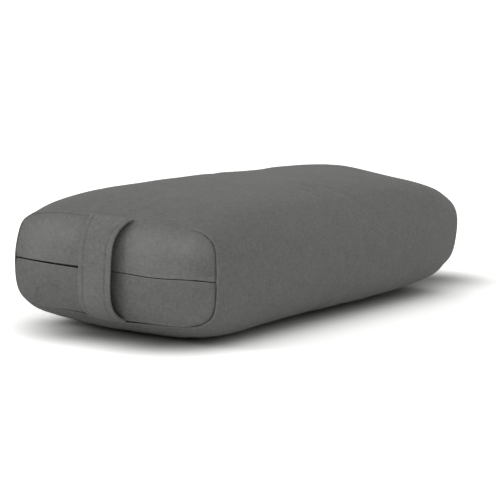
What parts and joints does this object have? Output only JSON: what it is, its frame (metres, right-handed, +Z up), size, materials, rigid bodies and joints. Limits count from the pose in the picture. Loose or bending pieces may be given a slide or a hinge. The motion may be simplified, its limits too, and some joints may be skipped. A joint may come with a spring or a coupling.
{
  "type": "rectangular yoga bolster",
  "caption": "Firm rectangular yoga bolster: a puffy box cushion in a sewn suede cover, with a zip across one end and a carry handle over it.",
  "frame": {"origin": "on the floor under the middle of the whole outline, handle and end bulge included", "axes": "+Z up, +X along the length away from the handle end, +Y to the handle end's left as one faces it"},
  "size_m": [0.655, 0.3, 0.165],
  "materials": {
    "cover_suede": "brushed suede microfibre",
    "handle_suede": "brushed suede microfibre",
    "binding_tape": "plain woven tape",
    "zip_tape": "close woven tape",
    "zip_coil": "moulded nylon",
    "zip_metal": "dark satin",
    "liner_cotton": "unbleached plain weave",
    "batting": "loose carded cotton",
    "core_cotton": "pressed cotton layers"
  },
  "bodies": {
    "bolster": {"cover_wrap": "cover_suede", "end_panel_upper": "cover_suede", "end_panel_lower": "cover_suede", "rear_panel": "cover_suede", "front_seam_binding": "binding_tape", "rear_seam_binding": "binding_tape", "underside_seam_binding": "binding_tape", "handle_face": "handle_suede", "handle_webbing": "binding_tape", "handle_back": "handle_suede", "zip_tape_upper": "zip_tape", "zip_tape_lower": "zip_tape", "zip_coil_upper": "zip_coil", "zip_coil_lower": "zip_coil", "zip_bottom_stop": "zip_metal", "zip_top_stop_upper": "zip_metal", "zip_top_stop_lower": "zip_metal", "liner_wrap": "liner_cotton", "liner_front_end": "liner_cotton", "liner_rear_end": "liner_cotton", "batting_wrap": "batting", "core_lower": "core_cotton", "core_middle": "core_cotton", "core_upper": "core_cotton"},
    "slider": {"zip_slider": "zip_metal"},
    "pull": {"zip_pull": "zip_metal"}
  },
  "joints": [
    {"name": "zip_run", "type": "hinge", "parent": "bolster", "child": "slider", "pos_m": [0.31539, 0, 0.07846], "axis": [0, 0, -1], "range_deg": [-11.9, 9.8]},
    {"name": "pull_swing", "type": "hinge", "parent": "slider", "child": "pull", "pos_m": [-0.31189, 0.01152, 0.07846], "axis": [0, 0, -1], "range_deg": [0, 178]}
  ]
}
